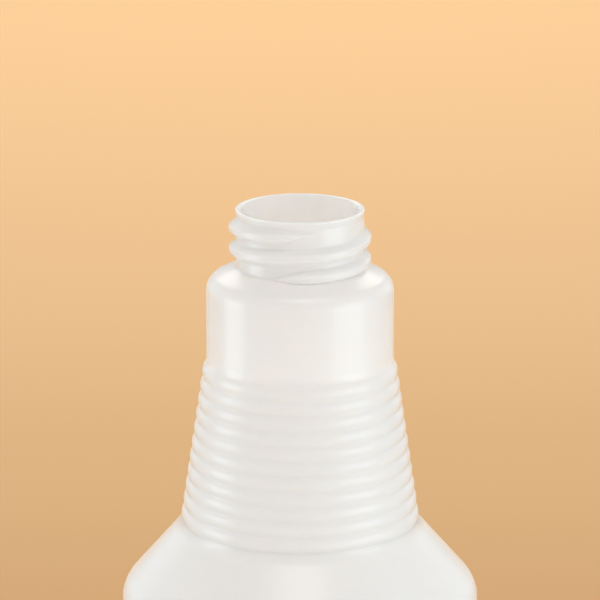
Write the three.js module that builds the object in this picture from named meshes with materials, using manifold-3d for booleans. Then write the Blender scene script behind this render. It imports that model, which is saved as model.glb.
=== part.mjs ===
// A half-litre squeeze bottle of natural white HDPE, blow-moulded in one piece and open at its threaded neck.
// Millimetres, +Z up. The origin is the centre of the base, in the plane that the bottle stands on.
import * as THREE from "three";
import { mergeVertices } from "three/addons/utils/BufferGeometryUtils.js";
import Module from "manifold-3d";

const degrees = THREE.MathUtils.degToRad;

// Whole bottle
const HEIGHT = 188;
const BODY_RADIUS = 35;
const BODY_WALL = 0.9;

// Base: a round heel, a flat standing ring and a domed push-up inside it
const HEEL_RADIUS = 5;
const FOOT_WIDTH = 2.6;
const PUSH_UP_HEIGHT = 3.6;

// Flare from the body up to the grip, with a round at its foot
const FLARE_SLOPE = degrees(40.9);
const FLARE_ROUND = 6.2;

// Grip: a cone of rings, each one an arc that meets the next in a groove
const RING_COUNT = 11;
const RING_PITCH = 2.89;
const RING_ROUND = 2.7;
const GRIP_BOTTOM_RADIUS = 23.05;
const GRIP_TOP_RADIUS = 18.35;

// Collar: the plain cylinder over the grip
const COLLAR_RADIUS = 18.2;
const COLLAR_LENGTH = 14.5;

// Shoulder: a slope from the neck down to the round edge of the collar
const SHOULDER_SLOPE = degrees(24.5);
const SHOULDER_ROUND = 3.35;

// Neck, 28 mm nominal over the thread
const NECK_RADIUS = 12.45;
const NECK_LENGTH = 11.3;
const NECK_WALL = 1.15;
const NECK_FILLET = 0.5;

// Lip: a bead round the mouth, a waist under it, and a flat sealing land with broken edges
const LIP_BEAD = 0.06;
const LIP_WAIST = 0.2;
const LIP_WAIST_DEPTH = 1.5;
const LIP_DEPTH = 3.2;
const LIP_EDGE = 0.18;

// Thread: one right-hand lead that starts under the lip and runs out where the neck meets the shoulder
const THREAD_HEIGHT = 1.3;
const THREAD_PITCH = 4.2;
const THREAD_GAP = 1.2;
const THREAD_CREST_WIDTH = 1.3;
const THREAD_CREST_ROUND = 0.12;
const THREAD_START_DEPTH = 2.55;
const THREAD_START_ANGLE = degrees(-85);
const THREAD_EMBED = 0.4;
const THREAD_RUN_OUT = degrees(34);

// How much of a ring's bulge still shows on the inside of the wall
const INNER_BULGE_SHARE = 0.6;

// Fineness of the facets
const TURN_STEPS = 40;
const OUTER_ARC_STEP = degrees(23);
const INNER_ARC_STEP = degrees(46);
const RING_STEPS = 4;
const DOME_STEPS = 3;

const RIGHT = 0;
const UP = degrees(90);
const LEFT = degrees(180);

const point = (radius, level) => new THREE.Vector2(radius, level);
const polar = (radius, angle) => point(radius * Math.cos(angle), radius * Math.sin(angle));

// Points of an arc, both ends included. Angles turn from outwards towards up.
function arcIn(steps, centre, radius, from, to) {
  return Array.from({ length: steps + 1 }, (_, i) => {
    const angle = THREE.MathUtils.lerp(from, to, i / steps);
    return polar(radius, angle).add(centre);
  });
}

const stepsFor = (from, to, step) => Math.ceil(Math.abs(to - from) / step);
const outerArc = (centre, radius, from, to) =>
  arcIn(stepsFor(from, to, OUTER_ARC_STEP), centre, radius, from, to);
const innerArc = (centre, radius, from, to) =>
  arcIn(stepsFor(from, to, INNER_ARC_STEP), centre, radius, from, to);

// Shoulder: its slope leaves the neck at the neck's root and touches the collar's round edge
const shoulderNormal = UP - SHOULDER_SLOPE;
const neckRoot = HEIGHT - NECK_LENGTH;
const shoulderTouch = COLLAR_RADIUS - SHOULDER_ROUND + SHOULDER_ROUND * Math.cos(shoulderNormal);
const shoulderFall = (shoulderTouch - NECK_RADIUS) * Math.tan(SHOULDER_SLOPE);
const collarTop = neckRoot - shoulderFall - SHOULDER_ROUND * Math.sin(shoulderNormal);
const shoulderCentre = point(COLLAR_RADIUS - SHOULDER_ROUND, collarTop);
const filletRise = NECK_FILLET / Math.cos(SHOULDER_SLOPE) - NECK_FILLET * Math.tan(SHOULDER_SLOPE);
const filletCentre = point(NECK_RADIUS + NECK_FILLET, neckRoot + filletRise);

// Grip: its grooves lie on a cone from the flare up to the collar
const gripTop = collarTop - COLLAR_LENGTH;
const gripBottom = gripTop - RING_COUNT * RING_PITCH;
const gripTaper = Math.atan2(GRIP_BOTTOM_RADIUS - GRIP_TOP_RADIUS, gripTop - gripBottom);
const ringHalfChord = RING_PITCH / Math.cos(gripTaper) / 2;
const ringHalfAngle = Math.asin(ringHalfChord / RING_ROUND);
const ringCentreDepth = RING_ROUND * Math.cos(ringHalfAngle);

// Flare: a straight cone from the lowest groove down to the round that meets the body
const flareFootRadius = BODY_RADIUS - FLARE_ROUND + FLARE_ROUND * Math.cos(FLARE_SLOPE);
const flareFoot = gripBottom - (flareFootRadius - GRIP_BOTTOM_RADIUS) / Math.tan(FLARE_SLOPE);
const bodyTop = flareFoot - FLARE_ROUND * Math.sin(FLARE_SLOPE);
const flareCentre = point(BODY_RADIUS - FLARE_ROUND, bodyTop);

// Base: the push-up is a cap of a sphere that rises from the inner edge of the standing ring
const heelCentre = point(BODY_RADIUS - HEEL_RADIUS, HEEL_RADIUS);
const domeEdgeRadius = BODY_RADIUS - HEEL_RADIUS - FOOT_WIDTH;
const domeRadius = (domeEdgeRadius ** 2 + PUSH_UP_HEIGHT ** 2) / (2 * PUSH_UP_HEIGHT);
const domeEdge = Math.acos(domeEdgeRadius / domeRadius);
const domeCentre = point(0, PUSH_UP_HEIGHT - domeRadius);

// A place on the grip's cone, counted in rings from its bottom, and moved off the cone by an offset
function onGrip(rings, offset = 0) {
  const share = rings / RING_COUNT;
  const radius = THREE.MathUtils.lerp(GRIP_BOTTOM_RADIUS, GRIP_TOP_RADIUS, share);
  const level = THREE.MathUtils.lerp(gripBottom, gripTop, share);
  return polar(offset, gripTaper).add(point(radius, level));
}

// Outside of the rings from the bottom up. The top one runs on until it meets the collar.
function ringsOutside() {
  const points = [];
  for (let ring = 0; ring < RING_COUNT; ring++) {
    const centre = onGrip(ring + 0.5, -ringCentreDepth);
    const isTop = ring === RING_COUNT - 1;
    const upper = isTop ? Math.acos((COLLAR_RADIUS - centre.x) / RING_ROUND) : gripTaper + ringHalfAngle;
    const ends = arcIn(RING_STEPS, centre, RING_ROUND, gripTaper - ringHalfAngle, upper);
    points.push(...(isTop ? ends : ends.slice(0, -1)));
  }
  return points;
}

// Inside of the rings from the bottom up: the wall follows them more softly
function ringsInside() {
  const bulge = (RING_ROUND - ringCentreDepth) * INNER_BULGE_SHARE;
  const points = [onGrip(0, -BODY_WALL)];
  for (let ring = 0; ring < RING_COUNT; ring++) {
    points.push(onGrip(ring + 0.5, bulge - BODY_WALL));
    points.push(onGrip(ring + 1, -BODY_WALL));
  }
  return points;
}

// The outside from the middle of the base up to the middle of the mouth
function outerProfile() {
  return [
    ...arcIn(DOME_STEPS, domeCentre, domeRadius, UP, domeEdge),
    ...outerArc(heelCentre, HEEL_RADIUS, -UP, RIGHT),
    ...outerArc(flareCentre, FLARE_ROUND, RIGHT, FLARE_SLOPE),
    ...ringsOutside(),
    ...outerArc(shoulderCentre, SHOULDER_ROUND, RIGHT, shoulderNormal),
    ...outerArc(filletCentre, NECK_FILLET, shoulderNormal + LEFT, LEFT),
    point(NECK_RADIUS, HEIGHT - LIP_DEPTH),
    point(NECK_RADIUS - LIP_WAIST, HEIGHT - LIP_WAIST_DEPTH),
    point(NECK_RADIUS + LIP_BEAD, HEIGHT - LIP_EDGE),
    point(NECK_RADIUS + LIP_BEAD - LIP_EDGE, HEIGHT),
    point(0, HEIGHT),
  ];
}

// The hollow from the middle of the base up to a little above the mouth
function innerProfile() {
  const bore = NECK_RADIUS - NECK_WALL;
  return [
    ...arcIn(DOME_STEPS, domeCentre, domeRadius + BODY_WALL, UP, domeEdge),
    ...innerArc(heelCentre, HEEL_RADIUS - BODY_WALL, -UP, RIGHT),
    ...innerArc(flareCentre, FLARE_ROUND - BODY_WALL, RIGHT, FLARE_SLOPE),
    ...ringsInside(),
    ...innerArc(shoulderCentre, SHOULDER_ROUND - BODY_WALL, RIGHT, shoulderNormal),
    ...innerArc(filletCentre, NECK_FILLET + NECK_WALL, shoulderNormal + LEFT, LEFT),
    point(bore, HEIGHT - LIP_EDGE),
    point(bore + 2 * LIP_EDGE, HEIGHT + LIP_EDGE),
    point(0, HEIGHT + LIP_EDGE),
  ];
}

// A geometry's triangles as a solid that can be joined and cut
function solidOf(geometry) {
  const bare = geometry.index ? geometry.toNonIndexed() : geometry.clone();
  bare.deleteAttribute("normal");
  bare.deleteAttribute("uv");
  const merged = mergeVertices(bare, 1e-5);
  const corners = merged.index.array;
  const triangles = [];
  for (let i = 0; i < corners.length; i += 3) {
    const [a, b, c] = corners.slice(i, i + 3);
    if (a !== b && b !== c && c !== a) {
      triangles.push(a, b, c);
    }
  }
  const mesh = new wasm.Mesh({
    numProp: 3,
    vertProperties: merged.getAttribute("position").array,
    triVerts: new Uint32Array(triangles),
  });
  return new wasm.Manifold(mesh);
}

// A profile turned about the bottle's axis
function turned(profile) {
  return solidOf(new THREE.LatheGeometry(profile, TURN_STEPS).rotateX(UP));
}

// Section of the thread's ridge: x is outwards from the neck's surface and y is up
function threadSection() {
  const root = (THREAD_PITCH - THREAD_GAP) / 2;
  const crest = THREAD_CREST_WIDTH / 2;
  const flankTop = THREAD_HEIGHT - THREAD_CREST_ROUND;
  return new THREE.Shape([
    point(-THREAD_EMBED, -root),
    point(0, -root),
    point(flankTop, -crest),
    point(THREAD_HEIGHT, 0),
    point(flankTop, crest),
    point(0, root),
    point(-THREAD_EMBED, root),
  ]);
}

// The thread: a straight ridge wound down round the neck from its upper end, and thinned out at both ends
function threadGeometry() {
  const drop = NECK_LENGTH - THREAD_START_DEPTH;
  const sweep = (2 * Math.PI * drop) / THREAD_PITCH;
  const steps = Math.round((TURN_STEPS * drop) / THREAD_PITCH);
  const ridge = new THREE.ExtrudeGeometry(threadSection(), { depth: sweep, steps, bevelEnabled: false });
  const place = ridge.getAttribute("position");
  for (let i = 0; i < place.count; i++) {
    const swept = place.getZ(i);
    const fromEnd = Math.min(swept, sweep - swept);
    const share = THREE.MathUtils.smoothstep(fromEnd, -THREAD_RUN_OUT / 4, THREAD_RUN_OUT);
    const height = place.getX(i) > 0 ? place.getX(i) * share : place.getX(i);
    const level = HEIGHT - THREAD_START_DEPTH - (drop * swept) / sweep;
    const across = polar(NECK_RADIUS + height, THREAD_START_ANGLE - swept);
    place.setXYZ(i, across.x, across.y, level + place.getY(i) * share);
  }
  return ridge;
}

// A solid back as a geometry with flat facets
function geometryOf(solid) {
  const mesh = solid.getMesh();
  const geometry = new THREE.BufferGeometry();
  geometry.setAttribute("position", new THREE.BufferAttribute(mesh.vertProperties, mesh.numProp));
  geometry.setIndex(new THREE.BufferAttribute(mesh.triVerts, 1));
  const flat = geometry.toNonIndexed();
  flat.computeVertexNormals();
  return flat;
}

const wasm = await Module();
wasm.setup();

const filled = turned(outerProfile()).add(solidOf(threadGeometry()));
const plastic = new THREE.MeshStandardMaterial({ color: 0xece9e3, roughness: 0.42, metalness: 0 });
const bottle = new THREE.Mesh(geometryOf(filled.subtract(turned(innerProfile()))), plastic);
bottle.name = "bottle";

const part = new THREE.Group();
part.add(bottle);

export default part;
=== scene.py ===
"""Looks of a translucent white squeeze bottle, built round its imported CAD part. Metres, +Z up."""
import math

import bpy
import numpy as np
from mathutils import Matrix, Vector


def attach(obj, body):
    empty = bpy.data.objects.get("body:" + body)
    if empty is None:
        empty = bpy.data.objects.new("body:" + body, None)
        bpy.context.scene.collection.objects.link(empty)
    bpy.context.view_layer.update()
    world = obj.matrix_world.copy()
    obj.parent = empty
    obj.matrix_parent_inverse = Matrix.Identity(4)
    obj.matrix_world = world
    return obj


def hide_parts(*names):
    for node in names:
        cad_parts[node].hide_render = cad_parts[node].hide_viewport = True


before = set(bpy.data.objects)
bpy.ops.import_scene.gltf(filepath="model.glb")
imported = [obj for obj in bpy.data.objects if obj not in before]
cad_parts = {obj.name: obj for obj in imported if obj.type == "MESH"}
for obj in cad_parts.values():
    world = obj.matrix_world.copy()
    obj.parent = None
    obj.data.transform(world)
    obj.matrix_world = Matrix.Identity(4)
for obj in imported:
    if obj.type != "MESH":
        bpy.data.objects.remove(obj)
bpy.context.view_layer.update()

MM = 0.001

# The bottle's sizes in millimetres, as in its CAD source
HEIGHT = 188.0
BODY_RADIUS = 35.0
BODY_WALL = 0.9
HEEL_RADIUS = 5.0
FOOT_WIDTH = 2.6
PUSH_UP_HEIGHT = 3.6
FLARE_SLOPE = math.radians(40.9)
FLARE_ROUND = 6.2
RING_COUNT = 11
RING_PITCH = 2.89
RING_ROUND = 2.7
GRIP_BOTTOM_RADIUS = 23.05
GRIP_TOP_RADIUS = 18.35
COLLAR_RADIUS = 18.2
COLLAR_LENGTH = 14.5
SHOULDER_SLOPE = math.radians(24.5)
SHOULDER_ROUND = 3.35
NECK_RADIUS = 12.45
NECK_LENGTH = 11.3
NECK_WALL = 1.15
NECK_FILLET = 0.5
LIP_BEAD = 0.06
LIP_WAIST = 0.2
LIP_WAIST_DEPTH = 1.5
LIP_DEPTH = 3.2
LIP_EDGE = 0.18
THREAD_HEIGHT = 1.3
THREAD_PITCH = 4.2
THREAD_START_DEPTH = 2.55
THREAD_START_ANGLE = math.radians(-85)
THREAD_RUN_OUT = math.radians(34)
INNER_BULGE_SHARE = 0.6

# The thread's rounded section: full height out to the crest's half width, none beyond the root's.
# Where it runs out, its root keeps at least this share of its width.
THREAD_CREST_HALF = 0.35
THREAD_ROOT_HALF = 1.75
THREAD_ROOT_LEAST = 0.2
THREAD_LEAST_HEIGHT = 0.001

# The rings' mesh steps, and how far the narrow valleys between them are rounded out
RING_STEPS = 12
RING_INNER_STEPS = 4
VALLEY_FILL = 0.6

# Marks of the mould: a fine parting ridge at +X and -X, and a pinched weld across the push-up
PARTING_HEIGHT = 0.04
PARTING_HALF_WIDTH = 0.16
WELD_HEIGHT = 0.35
WELD_HALF_WIDTH = 0.55
WELD_HALF_LENGTH = 21.0
WELD_RUN_OUT = 2.0

# The mesh's columns: how many there are all round, and the degrees off a parting ridge of those added at it
COLUMNS = 208
RIDGE_COLUMNS = (-1.2, -0.8, -0.45, -0.22, 0.22, 0.45, 0.8, 1.2)
ANGLE_DECIMALS = 7

TURN = 2 * math.pi
RIGHT = 0.0
UP = math.pi / 2
LEFT = math.pi


def arc(centre, radius, start, end, steps):
    """Points of an arc, both ends included. Angles turn from outwards towards up."""
    angles = np.linspace(start, end, steps + 1)
    return [(centre[0] + radius * math.cos(a), centre[1] + radius * math.sin(a)) for a in angles]


def straight(start, end, steps):
    """Points between two points, without either end."""
    shares = [i / steps for i in range(1, steps)]
    return [(start[0] + (end[0] - start[0]) * s, start[1] + (end[1] - start[1]) * s) for s in shares]


# Shoulder, grip, flare and base, worked out as in the CAD source
shoulder_normal = UP - SHOULDER_SLOPE
neck_root = HEIGHT - NECK_LENGTH
shoulder_touch = COLLAR_RADIUS - SHOULDER_ROUND + SHOULDER_ROUND * math.cos(shoulder_normal)
shoulder_fall = (shoulder_touch - NECK_RADIUS) * math.tan(SHOULDER_SLOPE)
collar_top = neck_root - shoulder_fall - SHOULDER_ROUND * math.sin(shoulder_normal)
shoulder_centre = (COLLAR_RADIUS - SHOULDER_ROUND, collar_top)
fillet_rise = NECK_FILLET / math.cos(SHOULDER_SLOPE) - NECK_FILLET * math.tan(SHOULDER_SLOPE)
fillet_centre = (NECK_RADIUS + NECK_FILLET, neck_root + fillet_rise)
grip_top = collar_top - COLLAR_LENGTH
grip_bottom = grip_top - RING_COUNT * RING_PITCH
grip_taper = math.atan2(GRIP_BOTTOM_RADIUS - GRIP_TOP_RADIUS, grip_top - grip_bottom)
ring_half_chord = RING_PITCH / math.cos(grip_taper) / 2
ring_half_angle = math.asin(ring_half_chord / RING_ROUND)
ring_centre_depth = RING_ROUND * math.cos(ring_half_angle)
flare_foot_radius = BODY_RADIUS - FLARE_ROUND + FLARE_ROUND * math.cos(FLARE_SLOPE)
flare_foot = grip_bottom - (flare_foot_radius - GRIP_BOTTOM_RADIUS) / math.tan(FLARE_SLOPE)
body_top = flare_foot - FLARE_ROUND * math.sin(FLARE_SLOPE)
flare_centre = (BODY_RADIUS - FLARE_ROUND, body_top)
heel_centre = (BODY_RADIUS - HEEL_RADIUS, HEEL_RADIUS)
dome_edge_radius = BODY_RADIUS - HEEL_RADIUS - FOOT_WIDTH
dome_radius = (dome_edge_radius ** 2 + PUSH_UP_HEIGHT ** 2) / (2 * PUSH_UP_HEIGHT)
dome_edge = math.acos(dome_edge_radius / dome_radius)
dome_centre = (0.0, PUSH_UP_HEIGHT - dome_radius)


def on_grip(rings, offset=0.0):
    """A place on the grip's cone, counted in rings from its bottom, and moved off the cone by an offset."""
    share = rings / RING_COUNT
    radius = GRIP_BOTTOM_RADIUS + (GRIP_TOP_RADIUS - GRIP_BOTTOM_RADIUS) * share
    level = grip_bottom + (grip_top - grip_bottom) * share
    return (radius + offset * math.cos(grip_taper), level + offset * math.sin(grip_taper))


def rounded_out(below, bottom, above):
    """A valley's bottom, moved towards the middle between the points beside it."""
    middle = [(low + high) / 2 for low, high in zip(below, above)]
    return tuple(VALLEY_FILL * m + (1 - VALLEY_FILL) * b for m, b in zip(middle, bottom))


def rings_outside():
    """Outside of the rings from the bottom up. The top one runs on until it meets the collar."""
    points = []
    for ring in range(RING_COUNT):
        centre = on_grip(ring + 0.5, -ring_centre_depth)
        upper = grip_taper + ring_half_angle
        if ring == RING_COUNT - 1:
            upper = math.acos((COLLAR_RADIUS - centre[0]) / RING_ROUND)
        points += arc(centre, RING_ROUND, grip_taper - ring_half_angle, upper, RING_STEPS)[:-1]
    for valley in range(RING_STEPS, RING_COUNT * RING_STEPS, RING_STEPS):
        points[valley] = rounded_out(*points[valley - 1 : valley + 2])
    return points + [(COLLAR_RADIUS, centre[1] + RING_ROUND * math.sin(upper))]


def rings_inside():
    """Inside of the rings from the bottom up: the wall follows them more softly."""
    bulge = (RING_ROUND - ring_centre_depth) * INNER_BULGE_SHARE
    points = []
    for step in range(RING_INNER_STEPS * RING_COUNT + 1):
        rings = step / RING_INNER_STEPS
        wave = math.sin(math.pi * (rings % 1))
        points.append(on_grip(rings, bulge * wave - BODY_WALL))
    return points


def outer_profile():
    """The outside from the middle of the base up to the mouth's outer edge."""
    dome = arc(dome_centre, dome_radius, UP, dome_edge, steps=22)
    heel = arc(heel_centre, HEEL_RADIUS, -UP, RIGHT, steps=12)
    flare = arc(flare_centre, FLARE_ROUND, RIGHT, FLARE_SLOPE, steps=12)
    rings = rings_outside()
    shoulder = arc(shoulder_centre, SHOULDER_ROUND, RIGHT, shoulder_normal, steps=12)
    fillet = arc(fillet_centre, NECK_FILLET, shoulder_normal + LEFT, LEFT, steps=6)
    lip_foot = (NECK_RADIUS, HEIGHT - LIP_DEPTH)
    lip_waist = (NECK_RADIUS - LIP_WAIST, HEIGHT - LIP_WAIST_DEPTH)
    lip_top = (NECK_RADIUS + LIP_BEAD, HEIGHT - 2 * LIP_EDGE)
    lip_corner = (NECK_RADIUS + LIP_BEAD - LIP_EDGE, HEIGHT - LIP_EDGE)
    return (
        dome
        + straight(dome[-1], heel[0], steps=3)
        + heel
        + straight(heel[-1], flare[0], steps=10)
        + flare
        + straight(flare[-1], rings[0], steps=6)
        + rings
        + straight(rings[-1], shoulder[0], steps=8)
        + shoulder
        + straight(shoulder[-1], fillet[0], steps=18)
        + fillet
        + straight(fillet[-1], lip_foot, steps=56)
        + [lip_foot]
        + straight(lip_foot, lip_waist, steps=14)
        + [lip_waist]
        + straight(lip_waist, lip_top, steps=8)
        + arc(lip_corner, LIP_EDGE, RIGHT, UP, steps=4)
    )


def inner_profile():
    """The mouth's inner edge, and the hollow down to the middle of the base."""
    bore = NECK_RADIUS - NECK_WALL
    upwards = (
        arc(dome_centre, dome_radius + BODY_WALL, UP, dome_edge, steps=10)
        + arc(heel_centre, HEEL_RADIUS - BODY_WALL, -UP, RIGHT, steps=6)
        + arc(flare_centre, FLARE_ROUND - BODY_WALL, RIGHT, FLARE_SLOPE, steps=6)
        + rings_inside()
        + arc(shoulder_centre, SHOULDER_ROUND - BODY_WALL, RIGHT, shoulder_normal, steps=6)
        + arc(fillet_centre, NECK_FILLET + NECK_WALL, shoulder_normal + LEFT, LEFT, steps=6)
        + [(bore, HEIGHT - 3 * LIP_EDGE), (bore, HEIGHT - LIP_EDGE), (bore + LIP_EDGE, HEIGHT)]
    )
    return upwards[::-1]


def smoothstep(value, low, high):
    """A smooth rise from 0 at the low value to 1 at the high one."""
    share = np.clip((value - low) / (high - low), 0.0, 1.0)
    return share * share * (3.0 - 2.0 * share)


def thread_height(angle, depth):
    """How far the thread stands off the neck at an angle round it and a depth under the mouth."""
    drop = NECK_LENGTH - THREAD_START_DEPTH
    sweep = TURN * drop / THREAD_PITCH
    first = np.mod(THREAD_START_ANGLE - angle, TURN)
    best = np.zeros_like(depth)
    for turn in range(-1, math.ceil(sweep / TURN) + 1):
        swept = first + TURN * turn
        share = smoothstep(np.minimum(swept, sweep - swept), -THREAD_RUN_OUT / 4, THREAD_RUN_OUT)
        middle = THREAD_START_DEPTH + THREAD_PITCH * swept / TURN
        across = np.abs(depth - middle)
        root = THREAD_ROOT_HALF * np.maximum(share, THREAD_ROOT_LEAST)
        section = 1.0 - smoothstep(across, THREAD_CREST_HALF * share, root)
        best = np.maximum(best, THREAD_HEIGHT * share * section)
    return best


def around():
    """Angles of the mesh's columns: even, with more of them at the two parting ridges."""
    even = np.arange(COLUMNS) * (TURN / COLUMNS)
    fine = np.radians(RIDGE_COLUMNS)
    angles = np.mod(np.concatenate([even, fine, fine + math.pi]), TURN)
    return np.unique(np.round(angles, ANGLE_DECIMALS))


def with_thread(r, a, z, outer):
    """Radii with the thread, which blends into the neck and the shoulder."""
    threaded = NECK_RADIUS + thread_height(a, HEIGHT - z)
    on_neck = outer & (z > neck_root - shoulder_fall) & (z < HEIGHT - 2 * LIP_EDGE)
    stands_off = threaded > NECK_RADIUS + THREAD_LEAST_HEIGHT
    return np.where(on_neck & stands_off, np.maximum(r, threaded), r)


def with_parting_ridge(r, a, z, outer):
    """Radii with the parting ridge. The wall steps back by its height, so the bottle grows no wider."""
    off = np.abs(np.sin(a)) * r
    ridge = PARTING_HEIGHT * np.exp(-((off / PARTING_HALF_WIDTH) ** 2))
    return np.where(outer & (z > HEEL_RADIUS), r - PARTING_HEIGHT + ridge, r)


def with_weld(x, y, z, r, outer):
    """Levels with the weld, where the mould pinched the tube shut, hanging from the push-up."""
    across = np.exp(-((y / WELD_HALF_WIDTH) ** 2))
    along = 1.0 - smoothstep(np.abs(x), WELD_HALF_LENGTH - WELD_RUN_OUT, WELD_HALF_LENGTH)
    on_dome = outer & (z < HEEL_RADIUS) & (r < dome_edge_radius)
    return np.where(on_dome, z - WELD_HEIGHT * across * along, z)


def shell_faces(rows, columns):
    """Four-sided faces from row to row, closed by a fan round the first point and one round the last."""
    last = 1 + rows * columns
    top = last - columns
    faces = []
    for column in range(columns):
        after = (column + 1) % columns
        faces.append((0, 1 + after, 1 + column))
        for row in range(rows - 1):
            low, high = 1 + row * columns, 1 + (row + 1) * columns
            faces.append((low + column, low + after, high + after, high + column))
        faces.append((top + column, top + after, last))
    return faces


def bottle_mesh():
    """One closed shell: the outside from the base up to the mouth, and the hollow back down to the base."""
    outside = outer_profile()
    profile = np.array(outside + inner_profile())
    is_outside = np.arange(len(profile)) < len(outside)
    angle = around()

    # A grid of rows up the profile and columns round the axis, without the profile's two ends on the axis
    r, a = np.meshgrid(profile[1:-1, 0], angle, indexing="ij")
    z, outer = (np.meshgrid(part, angle, indexing="ij")[0] for part in (profile[1:-1, 1], is_outside[1:-1]))
    r = with_thread(r, a, z, outer)
    r = with_parting_ridge(r, a, z, outer)
    x, y = r * np.cos(a), r * np.sin(a)
    z = with_weld(x, y, z, r, outer)

    points = np.stack([x, y, z], axis=-1).reshape(-1, 3)
    first = (0.0, 0.0, outside[0][1] - WELD_HEIGHT)
    last = (0.0, 0.0, profile[-1][1])
    vertices = [tuple(c * MM for c in v) for v in [first] + points.tolist() + [last]]
    mesh = bpy.data.meshes.new("bottle_shell")
    mesh.from_pydata(vertices, [], shell_faces(*r.shape))
    mesh.polygons.foreach_set("use_smooth", [True] * len(mesh.polygons))
    mesh.validate()
    mesh.update()
    return mesh


# The plastic's two tints, between which the wall changes slowly
TINT_DARK = (0.95, 0.935, 0.91, 1.0)
TINT_LIGHT = (0.975, 0.96, 0.94, 1.0)

# Depth of the surface's bumps in metres, and how much of it shows
LINES_DEPTH = 0.0002
GRAIN_DEPTH = 0.00008
BUMP_STRENGTH = 0.10


def noise(tree, place, scale, detail):
    """A noise texture laid over places. Returns its grey output."""
    node = tree.nodes.new("ShaderNodeTexNoise")
    node.inputs["Scale"].default_value = scale
    node.inputs["Detail"].default_value = detail
    tree.links.new(place, node.inputs["Vector"])
    return node.outputs["Fac"]


def bump(tree, height, depth):
    """A bump from a grey output. Returns its node."""
    node = tree.nodes.new("ShaderNodeBump")
    node.inputs["Strength"].default_value = BUMP_STRENGTH
    node.inputs["Distance"].default_value = depth
    tree.links.new(height, node.inputs["Height"])
    return node


def natural_plastic():
    """Milky polyethylene: light sinks into it and comes out softened, under a satin skin."""
    material = bpy.data.materials.new("natural_plastic")
    material.use_nodes = True
    tree = material.node_tree
    nodes, links = tree.nodes, tree.links
    shader = nodes["Principled BSDF"]
    shader.inputs["IOR"].default_value = 1.54
    shader.inputs["Subsurface Weight"].default_value = 1.0
    shader.inputs["Subsurface Radius"].default_value = (1.0, 0.93, 0.85)
    shader.inputs["Subsurface Scale"].default_value = 0.0005
    place = nodes.new("ShaderNodeTexCoord").outputs["Object"]

    # Slow cloudy changes of the wall's colour
    clouds = noise(tree, place, scale=45.0, detail=3.0)
    tint = nodes.new("ShaderNodeMix")
    tint.data_type = "RGBA"
    tint.inputs["A"].default_value = TINT_DARK
    tint.inputs["B"].default_value = TINT_LIGHT
    links.new(clouds, tint.inputs["Factor"])
    links.new(tint.outputs["Result"], shader.inputs["Base Color"])

    # Satin skin, a little uneven
    skin = noise(tree, place, scale=260.0, detail=4.0)
    gloss = nodes.new("ShaderNodeMapRange")
    gloss.inputs["To Min"].default_value = 0.20
    gloss.inputs["To Max"].default_value = 0.28
    links.new(skin, gloss.inputs["Value"])
    links.new(gloss.outputs["Result"], shader.inputs["Roughness"])

    # Faint lines drawn up the wall as the tube was stretched, and a fine grain
    stretch = nodes.new("ShaderNodeMapping")
    stretch.inputs["Scale"].default_value = (1.0, 1.0, 0.04)
    links.new(place, stretch.inputs["Vector"])
    drawn = bump(tree, noise(tree, stretch.outputs["Vector"], scale=420.0, detail=2.0), LINES_DEPTH)
    rough = bump(tree, noise(tree, place, scale=1500.0, detail=2.0), GRAIN_DEPTH)
    links.new(drawn.outputs["Normal"], rough.inputs["Normal"])
    links.new(rough.outputs["Normal"], shader.inputs["Normal"])
    return material


# The floor's colours along +Y, away from the camera: near white up to the bottle, then peach with painted
# shade, darker just behind the bottle and lighter farther back
FLOOR_COLOURS_AND_SHADE = (
    (0.08, (0.95, 0.93, 0.90)),
    (0.27, (0.845, 0.51, 0.25)),
    (0.42, (0.89, 0.57, 0.285)),
    (0.62, (0.93, 0.61, 0.32)),
)
FLOOR_HALF_SIDE = 40.0


def floor_material():
    """A dull paper that takes the floor's colours in turn along +Y, its peach darkened near the bottle as
    painted shade.
    """
    material = bpy.data.materials.new("floor")
    material.use_nodes = True
    nodes, links = material.node_tree.nodes, material.node_tree.links
    shader = nodes["Principled BSDF"]
    shader.inputs["Roughness"].default_value = 0.9
    shader.inputs["Specular IOR Level"].default_value = 0.1
    place = nodes.new("ShaderNodeTexCoord")
    away = nodes.new("ShaderNodeSeparateXYZ")
    links.new(place.outputs["Object"], away.inputs["Vector"])
    ramp = nodes.new("ShaderNodeValToRGB")
    ramp.color_ramp.interpolation = "EASE"
    stops = ramp.color_ramp.elements
    for index, (distance, colour) in enumerate(FLOOR_COLOURS_AND_SHADE):
        stop = stops[index] if index < len(stops) else stops.new(distance)
        stop.position = distance
        stop.color = (*colour, 1.0)
    links.new(away.outputs["Y"], ramp.inputs["Fac"])
    links.new(ramp.outputs["Color"], shader.inputs["Base Color"])
    return material


def floor():
    """A wide pale floor that turns from near white to peach behind the bottle, with painted shade darkening
    the peach nearest the bottle.
    """
    mesh = bpy.data.meshes.new("floor")
    side = FLOOR_HALF_SIDE
    corners = [(-side, -side, 0.0), (side, -side, 0.0), (side, side, 0.0), (-side, side, 0.0)]
    mesh.from_pydata(corners, [], [(0, 1, 2, 3)])
    mesh.materials.append(floor_material())
    item = bpy.data.objects.new("floor", mesh)
    bpy.context.collection.objects.link(item)


# Colours of the surround and the lights
WARM = (1.0, 0.95, 0.90)
COOL = (0.78, 0.93, 1.0)
BLUE = (0.68, 0.88, 1.0)
NEAR_WHITE = (1.0, 0.99, 0.97)
SURROUND_STRENGTH = 0.60

# What the lights point at: the grip's top, and the middle of the bottle's upper half
SIDE_LEVEL = 0.155
MIDDLE_LEVEL = 0.14


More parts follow.
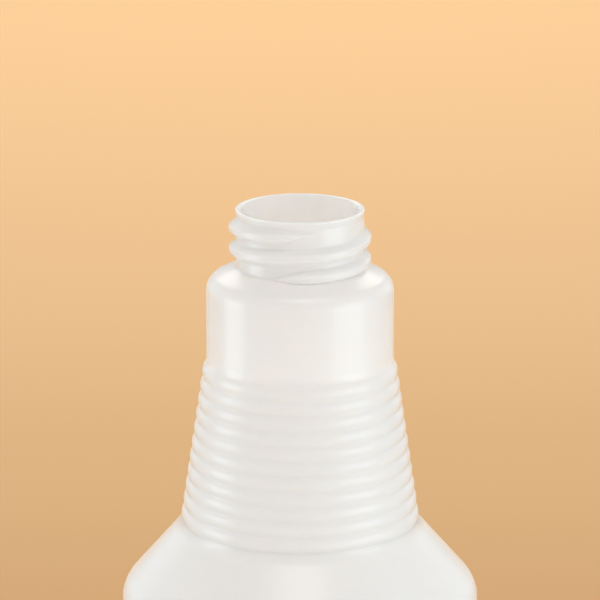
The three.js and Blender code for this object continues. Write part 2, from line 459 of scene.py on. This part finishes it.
def softbox(name, place, aim, width, height, watts, colour, spread=180, only=None):
    """An area light at a place, turned towards another. The camera doesn't see it.

    The spread is its beam's angle in degrees. Where a collection is given, it lights nothing else.
    """
    data = bpy.data.lights.new(name, "AREA")
    data.shape = "RECTANGLE"
    data.size = width
    data.size_y = height
    data.energy = watts
    data.color = colour
    data.spread = math.radians(spread)
    lamp = bpy.data.objects.new(name, data)
    lamp.location = place
    lamp.rotation_euler = (Vector(aim) - Vector(place)).to_track_quat("-Z", "Y").to_euler()
    lamp.visible_camera = False
    if only is not None:
        lamp.light_linking.receiver_collection = only
    bpy.context.collection.objects.link(lamp)


def beside(azimuth, distance, height):
    """A place round the bottle. Azimuth 0 is on the camera's side and turns towards +X."""
    turn = math.radians(azimuth)
    return (math.sin(turn) * distance, -math.cos(turn) * distance, height)


def surround():
    """A dim warm light from all sides."""
    world = bpy.data.worlds.new("surround")
    bpy.context.scene.world = world
    world.use_nodes = True
    background = world.node_tree.nodes["Background"]
    background.inputs["Color"].default_value = (*WARM, 1.0)
    background.inputs["Strength"].default_value = SURROUND_STRENGTH


def lights(item):
    """Softboxes round the bottle. Those at its sides and behind it light the bottle and not the floor."""
    alone = bpy.data.collections.new("lit_alone")
    alone.objects.link(item)

    # Left and right of the grip's top
    aim = (0.0, 0.0, SIDE_LEVEL)
    left = beside(azimuth=-86, distance=0.5, height=SIDE_LEVEL)
    right = beside(azimuth=62, distance=0.5, height=SIDE_LEVEL)
    softbox("left_light", left, aim, width=0.26, height=0.29, watts=0.58, colour=COOL, only=alone)
    softbox("right_light", right, aim, width=0.38, height=0.29, watts=0.70, colour=COOL, only=alone)

    # Straight down in front of the bottle
    place, aim = (0.0, -0.45, 0.9), (0.0, -0.451, 0.0)
    softbox("low_light", place, aim, width=0.5, height=0.5, watts=0.80, colour=WARM, spread=70)

    # Left and right behind the bottle
    aim = (0.0, 0.0, MIDDLE_LEVEL)
    for name, azimuth in (("rim_left_light", -140), ("rim_right_light", 140)):
        place = beside(azimuth, distance=0.9, height=0.3)
        softbox(name, place, aim, width=0.4, height=0.5, watts=0.28, colour=BLUE, only=alone)

    # Up from inside the grip, which brightens the mouth and the collar from within
    place, aim = (0.0, 0.0, 0.15), (0.0, 0.001, 0.2)
    softbox("inner_light", place, aim, width=0.02, height=0.02, watts=0.0042, colour=WARM)

    # Down and a little towards the bottle, on the floor behind it
    place, aim = (0.0, 1.3, 0.9), (0.0, 0.9, 0.0)
    softbox("floor_light", place, aim, width=1.4, height=0.8, watts=6.0, colour=NEAR_WHITE)


# The camera, as solved from the photograph: how far it is from the point that it looks at, how far that
# point is under the mouth in millimetres, and its focal length in pixels of the photograph
CAMERA_DISTANCE = 0.75
CAMERA_ELEVATION = math.radians(15)
AIM_BELOW_MOUTH = 18.3
FOCAL_PIXELS = 3871.6
FRAME_PIXELS = 600
SENSOR_WIDTH = 36.0


def camera():
    """The photograph's view: from above the horizontal on a point on the axis, with a long lens."""
    target = Vector((0.0, 0.0, (HEIGHT - AIM_BELOW_MOUTH) * MM))
    data = bpy.data.cameras.new("camera")
    data.sensor_width = SENSOR_WIDTH
    data.lens = FOCAL_PIXELS / FRAME_PIXELS * SENSOR_WIDTH
    eye = bpy.data.objects.new("camera", data)
    back = Vector((0.0, -math.cos(CAMERA_ELEVATION), math.sin(CAMERA_ELEVATION)))
    eye.location = target + back * CAMERA_DISTANCE
    eye.rotation_euler = (-back).to_track_quat("-Z", "Y").to_euler()
    bpy.context.collection.objects.link(eye)
    bpy.context.scene.camera = eye


bottle = bpy.data.objects.new("bottle_shell", bottle_mesh())
bpy.context.collection.objects.link(bottle)
bottle.data.materials.append(natural_plastic())
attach(bottle, "root")
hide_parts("bottle")

floor()
surround()
lights(bottle)
camera()
bpy.context.scene.view_settings.view_transform = "Standard"
